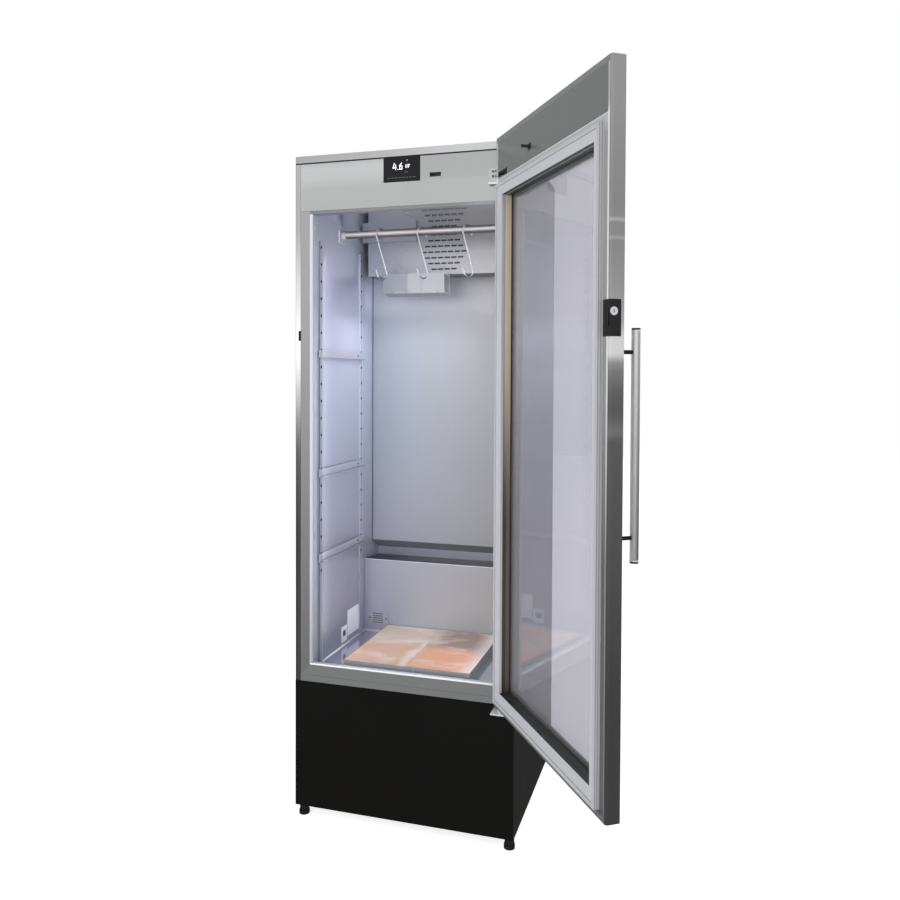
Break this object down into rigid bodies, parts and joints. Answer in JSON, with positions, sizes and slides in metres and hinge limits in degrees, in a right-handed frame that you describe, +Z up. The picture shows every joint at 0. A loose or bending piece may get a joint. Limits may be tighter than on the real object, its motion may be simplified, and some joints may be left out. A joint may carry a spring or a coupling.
{
  "type": "dry aging cabinet",
  "caption": "Tall free-standing steel cabinet with a glazed door, hanging rail with S-hooks, salt tray, cooling unit, black base and levelling feet.",
  "frame": {"origin": "on the floor, midway between the sides, in the plane of the cabinet's front face", "axes": "+X to the right seen from the front, +Y from the front face into the cabinet, +Z up"},
  "size_m": [1.083, 1.2277, 2.059],
  "materials": {
    "steel": "brushed",
    "liner_steel": "satin",
    "bright_steel": "polished",
    "black_paint": "satin",
    "grey_paint": "satin",
    "pale_plastic": "matt",
    "grey_plastic": "matt",
    "black_plastic": "gloss",
    "dark_plastic": "matt",
    "gasket_rubber": "matt",
    "insulation": "foam",
    "glass": "clear, faint lavender",
    "salt": "translucent pink salt",
    "aluminium": "satin"
  },
  "bodies": {
    "cabinet": {"side_panel_left": "steel", "side_panel_right": "steel", "top_lid": "steel", "rear_panel": "steel", "header_fascia": "steel", "jambs": "steel", "sill": "steel", "lower_rail": "steel", "breaker_frame": "pale_plastic", "foam": "insulation", "liner": "liner_steel", "floor_pan": "liner_steel", "shelf_standards": "liner_steel", "shelf_supports": "liner_steel", "false_back": "liner_steel", "guard_panel": "liner_steel", "vent_plate": "liner_steel", "evaporator_cover": "liner_steel", "evaporator_coil": "aluminium", "evaporator_motor": "aluminium", "lamp_boxes": "liner_steel", "hanging_rail": "bright_steel", "rail_brackets": "bright_steel", "display": "black_plastic", "door_switch": "dark_plastic", "power_inlet": "black_plastic", "base_shell": "black_paint", "base_grille": "black_paint", "base_plates": "black_paint", "compressor": "black_paint", "condenser": "aluminium", "condenser_shroud": "grey_paint", "drip_pan": "dark_plastic", "top_hinge": "bright_steel", "bottom_hinge": "bright_steel", "screws": "bright_steel"},
    "door": {"door_skin": "steel", "door_inner_sheet": "steel", "door_foam": "insulation", "window_frame": "grey_plastic", "window_reveal": "dark_plastic", "glass_panes": "glass", "door_gasket": "gasket_rubber", "hinge_bushes": "dark_plastic", "handle_tube": "bright_steel", "handle_fittings": "dark_plastic", "lock_housing": "dark_plastic", "switch_finger": "bright_steel"},
    "lock": {"lock_plug": "bright_steel"},
    "hook_left": {"hook_1": "bright_steel"},
    "hook_middle": {"hook_2": "bright_steel"},
    "hook_right": {"hook_3": "bright_steel"},
    "evaporator_rotor": {"evaporator_fan": "dark_plastic"},
    "condenser_rotor": {"condenser_fan": "dark_plastic"},
    "salt_bed": {"salt_tray": "liner_steel", "salt_blocks": "salt"},
    "foot_fl": {"foot_front_left": "dark_plastic"},
    "foot_fr": {"foot_front_right": "dark_plastic"},
    "foot_bl": {"foot_back_left": "dark_plastic"},
    "foot_br": {"foot_back_right": "dark_plastic"}
  },
  "joints": [
    {"name": "door_hinge", "type": "hinge", "parent": "cabinet", "child": "door", "pos_m": [0.3165, -0.028, 0], "axis": [0, 0, 1], "range_deg": [-124.42, 5]},
    {"name": "lock_turn", "type": "hinge", "parent": "door", "child": "lock", "pos_m": [0.68248, -0.56942, 1.524], "axis": [-0.5653, 0.8249, 0], "range_deg": [0, 90]},
    {"name": "hook_left_swing", "type": "hinge", "parent": "cabinet", "child": "hook_left", "pos_m": [-0.1485, 0.211, 1.848], "axis": [1, 0, 0], "range_deg": [-30, 30]},
    {"name": "hook_middle_swing", "type": "hinge", "parent": "cabinet", "child": "hook_middle", "pos_m": [-0.008, 0.211, 1.848], "axis": [1, 0, 0], "range_deg": [-30, 30]},
    {"name": "hook_right_swing", "type": "hinge", "parent": "cabinet", "child": "hook_right", "pos_m": [0.144, 0.211, 1.848], "axis": [1, 0, 0], "range_deg": [-30, 30]},
    {"name": "evaporator_fan_spin", "type": "hinge", "parent": "cabinet", "child": "evaporator_rotor", "pos_m": [0.012, 0.4, 1.8078], "axis": [0, 1, 0], "continuous": true},
    {"name": "condenser_fan_spin", "type": "hinge", "parent": "cabinet", "child": "condenser_rotor", "pos_m": [-0.14, 0.17, 0.196], "axis": [0, 1, 0], "continuous": true},
    {"name": "salt_tray_lift", "type": "slide", "parent": "cabinet", "child": "salt_bed", "axis": [0, 0, 1], "range_m": [0, 0.06]},
    {"name": "foot_fl_screw", "type": "slide", "parent": "cabinet", "child": "foot_fl", "axis": [0, 0, -1], "range_m": [0, 0.02]},
    {"name": "foot_fr_screw", "type": "slide", "parent": "cabinet", "child": "foot_fr", "axis": [0, 0, -1], "range_m": [0, 0.02]},
    {"name": "foot_bl_screw", "type": "slide", "parent": "cabinet", "child": "foot_bl", "axis": [0, 0, -1], "range_m": [0, 0.02]},
    {"name": "foot_br_screw", "type": "slide", "parent": "cabinet", "child": "foot_br", "axis": [0, 0, -1], "range_m": [0, 0.02]}
  ]
}
